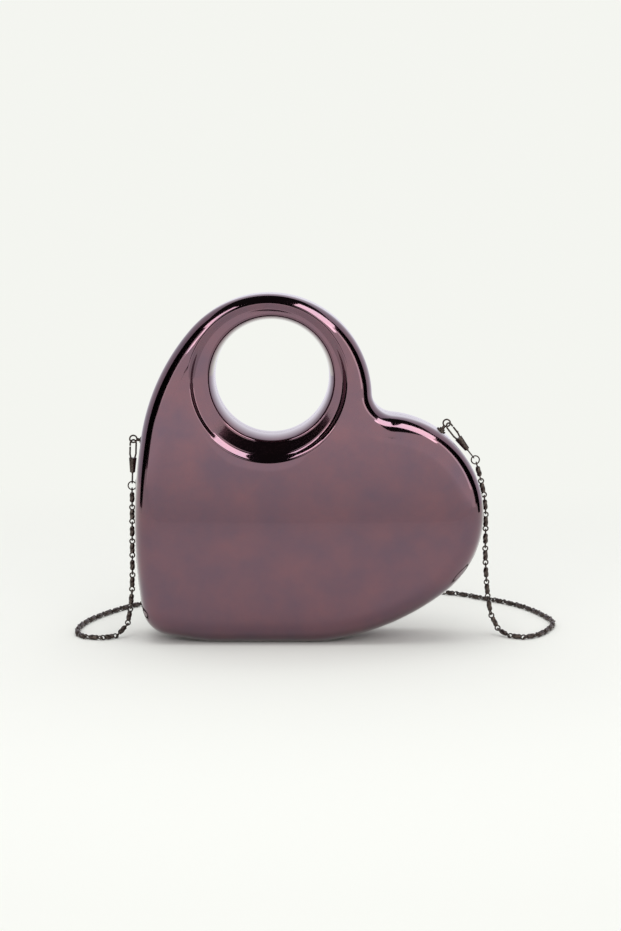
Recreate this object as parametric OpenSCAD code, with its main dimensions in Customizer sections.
// Heart shaped hard case purse with a hand hole and a barrel link chain.
// It stands on its base. X runs to the right, Y away from the viewer, Z up.
// The front half is a lid on an upright hinge in the left flank.

/* [Body] */
// Width of the heart body
body_w = 213; // [208:1:235]
// Full depth from the front face to the rear face
body_d = 62; // [58:1:70]
// Width of the flat band round the edge
band_w = 28; // [26:1:32]
// Width of the rolled edge between band and face
edge_roll = 15; // [12:0.5:17]
// How far each face bulges towards its middle
crown = 2.5; // [1:0.5:4]
// Thickness of the moulded half shells
wall = 2; // [1.6:0.1:2.2]
// Gap between the two closed halves
seam = 0.3; // [0.2:0.05:0.4]

/* [Hand hole] */
// Diameter of the hand hole at its waist
hole_d = 70; // [64:1:72]
// Width of the flat band inside the hole
throat_w = 14; // [10:1:16]
// Radial width of the rounded throat edge
throat_roll = 4.4; // [4.2:0.1:5]
// Depth of the ring recess round the hole
recess = 3.4; // [2:0.2:4]

/* [Lining and rims] */
// Thickness of the suede lining
lining_t = 1; // [0.6:0.1:1.2]
// Thickness of the rim frames inside the edge
rim_t = 1.2; // [1:0.1:1.6]
// Reach of the locating lip into the lid
lip = 2; // [1.5:0.1:2.4]
// Diameter of a closure magnet
magnet_d = 6; // [5:0.5:6]
// Thickness of a closure magnet
magnet_t = 2; // [1:0.5:2]

/* [Hinge] */
// Length of the hinge
hinge_len = 52; // [40:1:54]
// Diameter of the hinge barrel
barrel_d = 3.6; // [3.2:0.1:3.8]
// Diameter of the hinge pin
pin_d = 1.6; // [1.2:0.1:1.8]
// Thickness of a hinge leaf
leaf_t = 0.8; // [0.6:0.1:1]
// Diameter of a hinge screw
screw_d = 1.6; // [1.2:0.1:1.8]

/* [Eyelets] */
// Outer diameter of an eyelet ring
ring_d = 5.4; // [5.2:0.1:6]
// Wire diameter of an eyelet ring
ring_wire = 1; // [0.8:0.1:1]
// Reach of the ring centre from the shell
ring_reach = 6; // [5.8:0.1:7]
// Diameter of the stud through the wall
stud_d = 2.4; // [2:0.1:2.8]
// Width across the flats of the stud nut
nut_af = 5; // [4:0.1:5]

/* [Clips] */
// Wire diameter of a clip hook
hook_wire = 1.1; // [0.9:0.1:1.1]
// Gap between the two arms of a hook, measured on their centres
hook_w = 4.9; // [4.8:0.1:5.4]
// Length of a hook from its top to the sleeve
hook_len = 11.2; // [10:0.2:13]
// Diameter of the sleeve at its shoulder
sleeve_d = 4.8; // [4.6:0.1:5.4]
// Length of the sleeve
sleeve_len = 9; // [7:0.5:10]
// Wire diameter of the swivel eye and of the jump ring
eye_wire = 0.8; // [0.6:0.1:0.9]
// Mean diameter of a jump ring
jump_d = 5; // [4.6:0.1:5.4]
// Diameter of a gate pin
gate_pin_d = 0.56; // [0.4:0.02:0.6]

/* [Chain] */
// Diameter of a barrel link
link_d = 3.2; // [2.8:0.1:3.4]
// Length of the barrel of a link
link_len = 5.8; // [5:0.1:6]
// Mean diameter of the wire eye at each end of a link
link_eye = 3; // [2.8:0.1:3.2]
// Wire diameter of a link eye
link_wire = 0.9; // [0.7:0.05:0.95]

/* [Hidden] */

// Round parts are true circles at this count
$fn = 48;
// Overrun that lets a cut pass its surface
over = 1;

// Colours
plum = "#8d6c79";
suede = "#5c4550";
frame_plum = "#6f5560";
gunmetal = "#4a423f";
steel = "#9a9a9c";

// Outline of the heart, as shares of its width, about the middle of the body
lobe_a_share = [-0.1150, 0.7065, 0.2937];
lobe_b_share = [0.2141, 0.3689, 0.2859];
tip_share = [-0.3923, 0.1075, 0.0896];
cleft_share = 0.0679;
shoulder_a_share = 0.611;
shoulder_b_share = 0.720;
flank_a_share = 1.592;
flank_b_share = 1.403;
hole_share = [-0.1069, 0.762];
// Directions in which each shoulder leaves its lobe, in degrees
shoulder_a_angle = 138.85;
shoulder_b_angle = -53.04;
// Sideways place of the body, which centres the whole object with its clips
body_x = 3.17;

// Half sizes
half_d = body_d/2;
half_band = band_w/2;
half_throat = throat_w/2;
hole_r = hole_d/2;

// Vector helpers in the plane of the heart
function way(a) = [cos(a), sin(a)];
function unit(v) = v/norm(v);
function heading(p, q) = atan2(q[1] - p[1], q[0] - p[0]);
function placed(s) = [body_x + s[0]*body_w, s[1]*body_w];
// Point at two given distances from p and q, on the named side of the line p to q
function meet(p, rp, q, rq, side) =
  let (d = norm(q - p))
  let (a = (d*d + rp*rp - rq*rq)/(2*d))
  let (h = sqrt(max(0, rp*rp - a*a)))
  let (u = (q - p)/d)
  p + a*u + side*h*[-u[1], u[0]];

// Arc centres and radii, each tangent to the next
lobe_a = placed(lobe_a_share);
lobe_a_r = lobe_a_share[2]*body_w;
lobe_b = placed(lobe_b_share);
lobe_b_r = lobe_b_share[2]*body_w;
tip = placed(tip_share);
tip_r = tip_share[2]*body_w;
cleft_r = cleft_share*body_w;
shoulder_a_r = shoulder_a_share*body_w;
shoulder_b_r = shoulder_b_share*body_w;
flank_a_r = flank_a_share*body_w;
flank_b_r = flank_b_share*body_w;
cleft = meet(lobe_a, lobe_a_r + cleft_r, lobe_b, lobe_b_r + cleft_r, 1);
shoulder_a = lobe_a + (lobe_a_r - shoulder_a_r)*way(shoulder_a_angle);
shoulder_b = lobe_b + (lobe_b_r - shoulder_b_r)*way(shoulder_b_angle);
flank_a = meet(shoulder_a, flank_a_r - shoulder_a_r, tip, flank_a_r - tip_r, 1);
flank_b = meet(shoulder_b, flank_b_r - shoulder_b_r, tip, flank_b_r - tip_r, -1);
hole = placed(hole_share);

// Ring recess: it fills shares of the narrowest handle width, and lies a little low
handle_w = lobe_a_r - norm(hole - lobe_a) - hole_r;
recess_in_share = 0.474;
recess_out_share = 0.872;
recess_drop_share = [-0.115, -0.122];
recess_c = hole + handle_w*recess_drop_share;
recess_in = hole_r + recess_in_share*handle_w;
recess_out = hole_r + recess_out_share*handle_w;
// Softening of the crest between the edge roll and the throat roll
crest_soft = 1.2;

// Spokes round the heart: centre, radius, side, and for each spoke an outline
// angle and a hole angle. The hole angles share the hole out among the arcs.
spans = [
  [tip, tip_r, 1, heading(flank_a, tip), heading(flank_b, tip), 241, 248, 4],
  [flank_b, flank_b_r, 1, heading(flank_b, tip), heading(flank_b, shoulder_b), 248, 270, 6],
  [shoulder_b, shoulder_b_r, 1, heading(flank_b, shoulder_b), shoulder_b_angle, 270, 279, 6],
  [lobe_b, lobe_b_r, 1, shoulder_b_angle, heading(lobe_b, cleft), 279, 296, 13],
  [cleft, cleft_r, -1, heading(cleft, lobe_b), heading(cleft, lobe_a), 296, 348, 7],
  [lobe_a, lobe_a_r, 1, heading(lobe_a, cleft), shoulder_a_angle, 348, 507, 16],
  [shoulder_a, shoulder_a_r, 1, shoulder_a_angle, heading(flank_a, shoulder_a), 507, 576, 6],
  [flank_a, flank_a_r, 1, heading(flank_a, shoulder_a), heading(flank_a, tip) + 360, 576, 601, 6]];
spokes = [for (s = spans) for (k = [0:s[7] - 1]) let (t = k/s[7])
  [s[0], s[1], s[2], s[3] + (s[4] - s[3])*t, s[5] + (s[6] - s[5])*t]];

// Outline point of a spoke, moved inwards by d, with the base cut flat
function edge(sp, d) =
  let (p = sp[0] + (sp[1] - sp[2]*d)*way(sp[3]))
  [p[0], max(p[1], d)];
function on_circle(sp, c, r) = c + r*way(sp[4]);
// Width of edge roll that fits between the outline and the recess
roll_share = 0.9;
function roll_fit(sp) =
  min(edge_roll, roll_share*norm(edge(sp, 0) - on_circle(sp, recess_c, recess_out)));
// Straight path across the face from the roll to the recess
function across(sp, t) =
  let (a = edge(sp, roll_fit(sp)), b = on_circle(sp, recess_c, recess_out)) a + (b - a)*t;

// Heights of the half shell over the seam plane
function rise(x, w) = sqrt(max(0, 1 - pow(1 - max(0, min(x, w))/w, 2)));
function ease(x) = let (t = max(0, min(1, x))) t*t*(3 - 2*t);
function soft_min(a, b, k) =
  let (h = max(0, min(1, 0.5 + 0.5*(b - a)/k)))
  b + (a - b)*h - k*h*(1 - h);
crown_share = [-0.046, 0.403, 0.47];
crown_c = placed(crown_share);
crown_r = crown_share[2]*body_w;
function face_h(p) =
  half_d - crown*pow(norm(p - crown_c)/crown_r, 2)
  - recess*(1 - ease((norm(p - recess_c) - recess_in)/(recess_out - recess_in)));
// Distance from the outline, which counts only where the roll has no full width
function depth_in(sp, p) =
  roll_fit(sp) < edge_roll ? min(edge_roll, sp[2]*(sp[1] - norm(p - sp[0]))) : edge_roll;
function height(p, d, t) =
  let (top = face_h(p) - t, e = norm(p - hole) - hole_r)
  let (outer = half_band + (top - half_band)*rise(d - t, edge_roll - t))
  let (inner = half_throat + (top - half_throat)*rise(e - t, throat_roll - t))
  soft_min(outer, inner, crest_soft);
function raised(p, y) = [p[0], -y, p[1]];

// One line of points over the skin at inset t, from the edge towards the hole
function edge_line(sp, t, y0, n) = concat(
  [raised(edge(sp, t), y0)],
  [for (k = [0:n]) let (d = t + (roll_fit(sp) - t)*(1 - cos(90*k/n)))
    raised(edge(sp, d), height(edge(sp, d), d, t))]);
function face_line(sp, t, n, m) = concat(
  [for (k = [1:n - 1]) let (p = across(sp, k/n)) raised(p, height(p, depth_in(sp, p), t))],
  [for (k = [0:m])
    let (p = on_circle(sp, recess_c, recess_out + (recess_in - recess_out)*k/m))
    raised(p, height(p, depth_in(sp, p), t))]);
function throat_line(sp, t, y0, n) = concat(
  [for (k = [0:n])
    let (p = on_circle(sp, hole, hole_r + t + (throat_roll - t)*(1 - sin(90*k/n))))
    raised(p, height(p, depth_in(sp, p), t))],
  [raised(on_circle(sp, hole, hole_r + t), y0)]);
function turned(v) = [for (k = [len(v) - 1:-1:0]) v[k]];

// A closed skin whose sections run round the heart
module skin(lines) {
  n = len(lines);
  m = len(lines[0]);
  pts = [for (l = lines) for (p = l) p];
  faces = [for (i = [0:n - 1]) for (j = [0:m - 1])
    let (a = i*m + j, b = ((i + 1)%n)*m + j, c = ((i + 1)%n)*m + (j + 1)%m, d = i*m + (j + 1)%m)
    for (f = [[a, c, b], [a, d, c]]) f];
  polyhedron(pts, faces, convexity = 8);
}

module half_shell() {
  skin([for (sp = spokes) concat(
    edge_line(sp, 0, seam/2, 6), face_line(sp, 0, 4, 5), throat_line(sp, 0, seam/2, 4),
    turned(concat(edge_line(sp, wall, seam/2, 4), face_line(sp, wall, 3, 2),
      throat_line(sp, wall, seam/2, 2))))]);
}

// Lining: it stands clear of the wall and of the rim frames
lining_gap = 0.4;
rim_reach = 10;
lining_y = rim_reach + seam;
module half_lining() {
  near = wall + lining_gap;
  far = near + lining_t;
  skin([for (sp = spokes) concat(
    edge_line(sp, near, lining_y, 3), face_line(sp, near, 2, 1),
    turned(concat(edge_line(sp, far, lining_y, 3), face_line(sp, far, 2, 1))))]);
}

// Flat outline plate between two depths
function outline(d) = [for (sp = spokes) edge(sp, d)];
module plate(y0, y1) {
  translate([0, y1, 0]) rotate([90, 0, 0]) linear_extrude(y1 - y0) children();
}
module band(d, t) {
  difference() {
    polygon(outline(d));
    polygon(outline(d + t));
  }
}

// Hinge: its axis is upright, at the widest place of the left flank. It lies so
// far inside that the flank has curved back to it at both ends of the slot.
hinge_play = 0.25;
pin_play = 0.05;
pin_head_d = 2.6;
pin_head_t = 0.8;
slot_half = barrel_d/2 + hinge_play;
slot_len = hinge_len + 2*pin_head_t + 2*hinge_play;
hinge_in = pow(slot_len/2, 2)/(2*flank_a_r);
hinge_x = flank_a[0] - flank_a_r + hinge_in;
hinge_z = flank_a[1];
knuckles = 5;
knuckle_len = hinge_len/knuckles;
leaf_in = wall + hinge_play;
leaf_reach = 9.8;
leaf_edge = slot_half + hinge_play;
leaf_x = hinge_x + leaf_in;
screw_y = 6.2;
screw_head_d = 3.2;
screw_head_t = 0.8;
screw_play = 0.1;
screw_share = [-0.38, -0.13, 0.13, 0.38];
screw_z = [for (s = screw_share) hinge_z + s*hinge_len];

// Eyelets: each ring lies in the picture plane, on a stud square to the wall
eyelet_y = 7;
ring_r = (ring_d - ring_wire)/2;
collar_d = 3.7;
flange_d = 6;
flange_t = 0.8;
stud_play = 0.1;
nut_t = 1.8;
nut_seat = 0.35;
thread_over = 0.6;
left_angle = 171.6;
right_angle = 53.9;
left_seat = flank_a + flank_a_r*way(left_angle);
right_seat = lobe_b + lobe_b_r*way(right_angle);

// Puts its children on the wall, with their Z square to it
module at_wall(seat, angle) {
  translate([seat[0], eyelet_y, seat[1]]) rotate([0, 90 - angle, 0]) children();
}

// Cuts in the half shells
module hinge_slot() {
  translate([hinge_x - barrel_d, -slot_half, hinge_z - slot_len/2])
    cube([2*barrel_d, 2*slot_half, slot_len]);
}
module stud_hole() {
  translate([0, 0, -2*wall]) cylinder(d = stud_d + 2*stud_play, h = 3*wall);
}

module front_shell() {
  color(plum) difference() {
    half_shell();
    hinge_slot();
  }
}
module rear_shell() {
  color(plum) difference() {
    mirror([0, 1, 0]) half_shell();
    hinge_slot();
    at_wall(left_seat, left_angle) stud_hole();
    at_wall(right_seat, right_angle) stud_hole();
  }
}
module front_lining() {
  color(suede) half_lining();
}
module rear_lining() {
  color(suede) mirror([0, 1, 0]) half_lining();
}

// Rim frames: thin bands inside the edge that hold the magnets
glue = 0.1;
rim_in = wall + glue;
lip_in = wall + lining_gap;
rim_y = 3.6;
cup_wall = 1;
cup_d = magnet_d + 2*cup_wall;
cup_bite = 0.3;
magnet_play = 0.05;
cup_in = lip_in + rim_t + cup_d/2 - cup_bite;
cups = [
  lobe_b + (lobe_b_r - cup_in)*way(8),
  lobe_a + (lobe_a_r - cup_in)*way(8),
  shoulder_b + (shoulder_b_r - cup_in)*way(-68)];
pocket_h = magnet_t + glue;
cup_h = pocket_h + cup_wall;
module at_cups(d, y0, y1) {
  for (c = cups)
    translate([c[0], y1, c[1]]) rotate([90, 0, 0]) cylinder(d = d, h = y1 - y0);
}
module hinge_room() {
  translate([hinge_x - barrel_d, -rim_reach - over, hinge_z - slot_len/2 - hinge_play])
    cube([barrel_d + leaf_in + leaf_t + screw_head_t + hinge_play, 2*rim_reach + 2*over,
      slot_len + 2*hinge_play]);
}
module front_rim() {
  top = -lip - seam;
  color(frame_plum) difference() {
    union() {
      plate(-rim_reach, top) band(rim_in, rim_t);
      at_cups(cup_d, top - cup_h, top);
    }
    at_cups(magnet_d + 2*magnet_play, top - pocket_h, top + over);
    hinge_room();
  }
}
module rear_rim() {
  color(frame_plum) difference() {
    union() {
      plate(seam/2, rim_y) band(rim_in, lip_in - rim_in + rim_t);
      plate(-lip, seam) band(lip_in, rim_t);
      at_cups(cup_d, -lip, cup_h - lip);
    }
    at_cups(magnet_d + 2*magnet_play, -lip - over, pocket_h - lip);
    hinge_room();
  }
}
module front_magnets() {
  top = -lip - seam - glue/2;
  color(steel) at_cups(magnet_d, top - magnet_t, top);
}
module rear_magnets() {
  low = glue/2 - lip;
  color(steel) at_cups(magnet_d, low, low + magnet_t);
}

// Collar: it lines the hand hole on the rear half and locates the lid
collar_t = 1.2;
collar_gap = 0.3;
collar_r = hole_r + wall + collar_gap;
module hole_collar() {
  color(frame_plum) translate([hole[0], half_throat, hole[1]]) rotate([90, 0, 0])
    difference() {
      cylinder(r = collar_r + collar_t, h = half_throat + lip);
      translate([0, 0, -over]) cylinder(r = collar_r, h = half_throat + lip + 2*over);
    }
}

// Hinge leaf on one side of the axis, which carries every second knuckle
module screw_row(d, x0, x1, side) {
  for (z = screw_z)
    translate([x0, side*screw_y, z]) rotate([0, 90, 0]) cylinder(d = d, h = x1 - x0);
}
module knuckle(side) {
  h = knuckle_len - hinge_play;
  web_y = pin_d/2;
  cylinder(d = barrel_d, h = h);
  mirror([0, side > 0 ? 0 : 1, 0]) {
    translate([0, web_y, 0]) cube([leaf_in + leaf_t, barrel_d/2 - web_y, h]);
    translate([leaf_in, web_y, 0]) cube([leaf_t, leaf_edge + leaf_t - web_y, h]);
  }
}
module leaf(side, first) {
  low = hinge_z - hinge_len/2;
  difference() {
    union() {
      translate([leaf_x, side > 0 ? leaf_edge : -leaf_reach, low])
        cube([leaf_t, leaf_reach - leaf_edge, hinge_len]);
      for (k = [first:2:knuckles - 1])
        translate([hinge_x, 0, low + k*knuckle_len + hinge_play/2]) knuckle(side);
    }
    translate([hinge_x, 0, low - over]) cylinder(d = pin_d + 2*pin_play, h = hinge_len + 2*over);
    screw_row(screw_d + 2*screw_play, leaf_x - over, leaf_x + leaf_t + over, side);
  }
}
module front_hinge_leaf() {
  color(steel) leaf(-1, 0);
}
module rear_hinge_leaf() {
  color(steel) leaf(1, 1);
}
module hinge_pin() {
  color(steel) translate([hinge_x, 0, hinge_z - hinge_len/2]) {
    cylinder(d = pin_d, h = hinge_len);
    translate([0, 0, -pin_head_t]) cylinder(d = pin_head_d, h = pin_head_t);
    translate([0, 0, hinge_len]) cylinder(d = pin_head_d, h = pin_head_t);
  }
}
// Screws: each goes through the leaf and ends at the wall
module hinge_screws(side) {
  head_x = leaf_x + leaf_t;
  color(steel) {
    screw_row(screw_head_d, head_x, head_x + screw_head_t, side);
    screw_row(screw_d, leaf_x - glue/2, head_x + screw_head_t/2, side);
  }
}
module front_hinge_screws() {
  hinge_screws(-1);
}
module rear_hinge_screws() {
  hinge_screws(1);
}

// Eyelet: ring, collar, flange on the wall and a stud through it
module wire_ring(r, wire) {
  rotate_extrude() translate([r, 0]) circle(d = wire);
}
module eyelet() {
  stud_len = wall + nut_t + thread_over;
  translate([0, 0, ring_reach]) rotate([90, 0, 0]) wire_ring(ring_r, ring_wire);
  cylinder(d = flange_d, h = flange_t);
  cylinder(d = collar_d, h = (ring_reach - ring_r)/2);
  cylinder(d = 2*ring_wire, h = ring_reach - ring_r);
  translate([0, 0, -stud_len]) cylinder(d = stud_d, h = stud_len + flange_t/2);
}
module eyelet_nut() {
  translate([0, 0, -wall - nut_t - nut_seat]) difference() {
    cylinder(d = nut_af/cos(30), h = nut_t, $fn = 6);
    translate([0, 0, -over]) cylinder(d = stud_d + stud_play, h = nut_t + 2*over);
  }
}
module left_eyelet() {
  color(gunmetal) at_wall(left_seat, left_angle) eyelet();
}
module right_eyelet() {
  color(gunmetal) at_wall(right_seat, right_angle) eyelet();
}
module left_eyelet_nut() {
  color(steel) at_wall(left_seat, left_angle) eyelet_nut();
}
module right_eyelet_nut() {
  color(steel) at_wall(right_seat, right_angle) eyelet_nut();
}

// Clips hang from the rings. Along a clip's own Z everything is measured down
// from the centre of its ring.
clip_roll = 47;
left_lean = 2;
right_lean = -38;
top_gap = 0.6;
link_gap = 0.15;
hook_top = ring_r - ring_wire/2 - top_gap - hook_wire/2;
arm_x = hook_w/2;
shoulder_z = hook_top + hook_len;
nose_len = 0.7;
gate_gap = 0.3;
foot_x = 1.4;
foot_drop = 0.9;
bend_rise = 2.4;
gate_foot_r = 0.9;
gate_half = 0.75;
slot_play = 0.15;
gate_pin_play = 0.03;
sleeve_end_d = 3.2;
post_d = 1.5;
post_len = 2;
post_play = 0.08;
sleeve_z = shoulder_z + sleeve_len;
eye_w = 3.4;
eye_len = 6.9;
eye_z = sleeve_z + gate_gap;
eye_in_z = eye_z + eye_len - eye_wire;
jump_z = eye_in_z - link_gap - eye_wire/2 + jump_d/2;

left_ring = left_seat + ring_reach*way(left_angle);
right_ring = right_seat + ring_reach*way(right_angle);
function down_clip(ring, lean, s) = ring + s*[-sin(lean), -cos(lean)];
left_jump = down_clip(left_ring, left_lean, jump_z);
right_jump = down_clip(right_ring, right_lean, jump_z);

module at_clip(ring, lean, roll) {
  translate([ring[0], eyelet_y, ring[1]]) rotate([0, lean, 0]) rotate([0, 0, roll]) children();
}
// Round bar between two points of the X-Z plane; a ball closes each end and bend
ball_swell = 0.06;
module ball(p, d) {
  translate([p[0], 0, p[1]]) sphere(d = d + ball_swell);
}
module bar(p, q, d) {
  translate([p[0], 0, p[1]]) rotate([0, 90 - heading(p, q), 0]) cylinder(d = d, h = norm(q - p));
}
// Round bore or bar across the clip
module cross_round(x, z, d, half) {
  translate([x, half, z]) rotate([90, 0, 0]) cylinder(d = d, h = 2*half);
}
arm_top = -hook_top - arm_x;
foot_z = -shoulder_z - foot_drop;
knee_z = foot_z + foot_drop + bend_rise;
module hook() {
  difference() {
    union() {
      translate([0, 0, arm_top]) rotate([90, 0, 0]) rotate_extrude(angle = 180)
        translate([arm_x, 0]) circle(d = hook_wire);
      bar([arm_x, arm_top], [arm_x, knee_z], hook_wire);
      ball([arm_x, knee_z], hook_wire);
      bar([arm_x, knee_z], [foot_x, foot_z], hook_wire);
      bar([-arm_x, arm_top], [-arm_x, arm_top - nose_len], hook_wire);
      ball([-arm_x, arm_top - nose_len], hook_wire);
      translate([0, 0, -sleeve_z]) cylinder(d1 = sleeve_end_d, d2 = sleeve_d, h = sleeve_len);
    }
    translate([-sleeve_d, -gate_half - slot_play, foot_z - gate_foot_r - slot_play])
      cube([sleeve_d - foot_x + gate_foot_r + slot_play, 2*gate_half + 2*slot_play, sleeve_len]);
    cross_round(-foot_x, foot_z, gate_pin_d + 2*gate_pin_play, sleeve_d);
    translate([0, 0, -sleeve_z - over]) cylinder(d = post_d + 2*post_play, h = post_len + over);
  }
}
// Gate: a spring arm between the foot pin and the nose of the hook
module gate(knob_z) {
  top_z = arm_top - nose_len - hook_wire - gate_gap;
  difference() {
    union() {
      ball([-arm_x, top_z], hook_wire);
      bar([-arm_x, top_z], [-arm_x, knee_z], hook_wire);
      ball([-arm_x, knee_z], hook_wire);
      bar([-arm_x, knee_z], [-foot_x, foot_z], hook_wire);
      cross_round(-foot_x, foot_z, 2*gate_foot_r, gate_half);
      translate([-arm_x - hook_wire/2, 0, knob_z]) sphere(d = hook_wire);
    }
    cross_round(-foot_x, foot_z, gate_pin_d + 2*gate_pin_play, sleeve_d);
  }
}
module gate_pin() {
  pin_half = sqrt(pow(sleeve_d/2, 2) - pow(foot_x + gate_pin_d, 2)) - slot_play;
  cross_round(-foot_x, foot_z, gate_pin_d, pin_half);
}
module swivel_eye() {
  x = (eye_w - eye_wire)/2;
  low = -eye_z - eye_len + eye_wire/2 + x;
  high = -eye_z - eye_wire/2 - x;
  for (m = [0, 1]) mirror([m, 0, 0]) bar([x, low], [x, high], eye_wire);
  translate([0, 0, low]) rotate([-90, 0, 0]) rotate_extrude(angle = 180)
    translate([x, 0]) circle(d = eye_wire);
  translate([0, 0, high]) rotate([90, 0, 0]) rotate_extrude(angle = 180)
    translate([x, 0]) circle(d = eye_wire);
  translate([0, 0, -eye_z - eye_wire/2]) cylinder(d = post_d, h = eye_wire/2 + post_len);
}
module jump_ring(c) {
  translate([c[0], eyelet_y, c[1]]) rotate([90, 0, 0]) wire_ring(jump_d/2, eye_wire);
}
left_knob_z = arm_top - 3*nose_len;
right_knob_z = knee_z + nose_len;
module left_hook() {
  color(gunmetal) at_clip(left_ring, left_lean, clip_roll) hook();
}
module right_hook() {
  color(gunmetal) at_clip(right_ring, right_lean, clip_roll + 180) hook();
}
module left_gate() {
  color(gunmetal) at_clip(left_ring, left_lean, clip_roll) gate(left_knob_z);
}
module right_gate() {
  color(gunmetal) at_clip(right_ring, right_lean, clip_roll + 180) gate(right_knob_z);
}
module left_gate_pin() {
  color(steel) at_clip(left_ring, left_lean, clip_roll) gate_pin();
}
module right_gate_pin() {
  color(steel) at_clip(right_ring, right_lean, clip_roll + 180) gate_pin();
}
module left_swivel_eye() {
  color(gunmetal) at_clip(left_ring, left_lean, 90) swivel_eye();
}
module right_swivel_eye() {
  color(gunmetal) at_clip(right_ring, right_lean, 90) swivel_eye();
}
module left_jump_ring() {
  color(gunmetal) jump_ring(left_jump);
}
module right_jump_ring() {
  color(gunmetal) jump_ring(right_jump);
}

// Chain: one route from the left jump ring, round behind the case, to the right one
route = [
  [-106.7, 7, 91.6], [-107, 7, 58.5], [-107.5, 6, 26], [-111.5, -3, 4], [-126.5, -13, 1.7],
  [-140, -3, 1.7], [-142, 22.5, 1.7], [-135.5, 51, 1.7], [-121, 82, 1.7], [-105, 102.5, 1.7],
  [-85.5, 109.5, 1.7], [-72.5, 97.5, 1.7], [-69, 70.5, 1.7], [-60, 51.5, 1.7], [-45, 50.5, 1.7],
  [-37, 67.5, 1.7], [-33.5, 95.5, 1.7], [-19, 110, 1.7], [-5, 101, 1.7], [-0.5, 84.5, 1.7],
  [3.5, 59.5, 1.7], [18.5, 48, 1.7], [33, 61, 1.7], [38, 88, 1.7], [41, 119.5, 1.7],
  [51, 139, 1.7], [74.5, 147, 1.7], [106, 134.5, 1.7], [119, 120.5, 1.7], [133, 107, 1.7],
  [147.5, 84, 1.7], [157.5, 51, 1.7], [158.5, 28.5, 1.7], [146.5, -2, 1.7], [132.5, -11.5, 1.8],
  [122, 2, 3], [116, 7, 15.5], [113, 7, 46.5], [112.5, 7, 82.5], [106.8, 7, 107.7]];
links = 89;
joint_gap = 0.2;

function spline(a, b, c, d, t) = 0.5*(2*b + (c - a)*t + (2*a - 5*b + 4*c - d)*t*t
  + (3*b - a - 3*c + d)*t*t*t);
steps = 8;
last = len(route) - 1;
curve = [for (i = [0:last - 1]) for (k = [0:steps - (i == last - 1 ? 0 : 1)])
  spline(route[max(0, i - 1)], route[i], route[i + 1], route[min(last, i + 2)], k/steps)];

// Steps of one length along the curve; the list ends early where the curve does
function crossing(a, b, c, p) =
  let (u = b - a, w = a - c)
  let (k = u*u, h = u*w, g = w*w - p*p)
  a + u*(sqrt(max(0, h*h - k*g)) - h)/k;
function index_at(c, i, p) =
  i >= len(curve) ? -1 : norm(curve[i] - c) >= p ? i : index_at(c, i + 1, p);
function march(p, i, n, out) =
  let (c = out[len(out) - 1], j = n > 0 ? index_at(c, i, p) : -1)
  j < 0 ? out : march(p, j, n - 1, concat(out, [crossing(curve[j - 1], curve[j], c, p)]));
function fitted(lo, hi, k) =
  let (p = (lo + hi)/2)
  k == 0 ? lo : len(march(p, 1, links, [curve[0]])) > links ? fitted(p, hi, k - 1) : fitted(lo, p, k - 1);
pitch = fitted(link_len, 2*link_len + link_eye, 22);
joints = march(pitch, 1, links, [curve[0]]);

// Plane of a link's eyes: turned by a quarter from link to link, upright where the
// chain hangs and at half a quarter to the floor where it lies
function flat_to(v, u) = unit(v - (v*u)*u);
function hang_normal(k, u) = k%2 == 1 ? flat_to([0, 1, 0], u) : flat_to(cross(u, [0, 1, 0]), u);
function floor_normal(k, u) =
  let (side = flat_to(cross([0, 0, 1], u), u), top = flat_to([0, 0, 1], u))
  unit(top + (k%2 == 1 ? 1 : -1)*side);
hang_z = 44;
floor_z = 3;
function eye_normal(k, u, z) =
  let (a = hang_normal(k, u), b = z > hang_z ? a : floor_normal(k, u))
  let (t = ease((hang_z - z)/(hang_z - floor_z)), s = a*b < 0 ? -1 : 1)
  flat_to((1 - t)*a + t*s*b, u);

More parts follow.
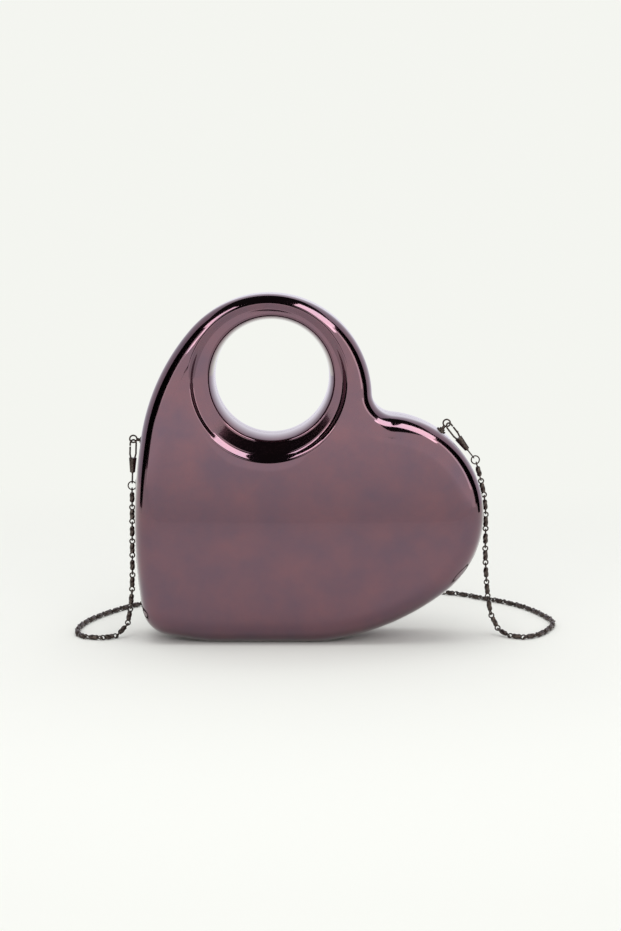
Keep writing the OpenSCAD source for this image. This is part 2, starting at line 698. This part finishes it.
// Turns Z onto u and Y onto n, then moves to c
module frame_at(c, u, n) {
  x = cross(n, u);
  multmatrix([[x[0], n[0], u[0], c[0]], [x[1], n[1], u[1], c[1]], [x[2], n[2], u[2], c[2]]])
    children();
}
function along(k) = unit(joints[k + 1] - joints[k]);
// Half the distance between the eyes that hook together at a joint, which the
// bend of the chain shortens
function eye_back(k) =
  let (bend = k < 1 || k > links - 1 ? 0 : acos(min(1, along(k - 1)*along(k))))
  link_eye/2 - (link_wire + joint_gap)/(2*cos(bend/2));
module link(k) {
  a = joints[k];
  b = joints[k + 1];
  u = along(k);
  half = norm(b - a)/2;
  frame_at((a + b)/2, u, eye_normal(k, u, (a[2] + b[2])/2)) {
    translate([0, 0, -link_len/2]) cylinder(d = link_d, h = link_len);
    for (z = [eye_back(k) - half, half - eye_back(k + 1)])
      translate([0, 0, z]) rotate([90, 0, 0]) wire_ring(link_eye/2, link_wire);
  }
}
// Stretch that a link belongs to: 0 and 4 hang, 1 and 3 lie beside the case, 2 behind
hang_end = 5;
side_x = 100;
function stretch(k) =
  let (c = (joints[k] + joints[k + 1])/2)
  c[2] > hang_end ? (c[0] < 0 ? 0 : 4) : c[0] < -side_x ? 1 : c[0] > side_x ? 3 : 2;
module chain(part) {
  color(gunmetal) for (k = [0:links - 1]) if (stretch(k) == part) link(k);
}
module chain_left_hang() {
  chain(0);
}
module chain_left_floor() {
  chain(1);
}
module chain_rear() {
  chain(2);
}
module chain_right_floor() {
  chain(3);
}
module chain_right_hang() {
  chain(4);
}

front_shell();
rear_shell();
front_lining();
rear_lining();
front_rim();
rear_rim();
hole_collar();
front_magnets();
rear_magnets();
front_hinge_leaf();
rear_hinge_leaf();
hinge_pin();
front_hinge_screws();
rear_hinge_screws();
left_eyelet();
right_eyelet();
left_eyelet_nut();
right_eyelet_nut();
left_hook();
right_hook();
left_gate();
right_gate();
left_gate_pin();
right_gate_pin();
left_swivel_eye();
right_swivel_eye();
left_jump_ring();
right_jump_ring();
chain_left_hang();
chain_left_floor();
chain_rear();
chain_right_floor();
chain_right_hang();
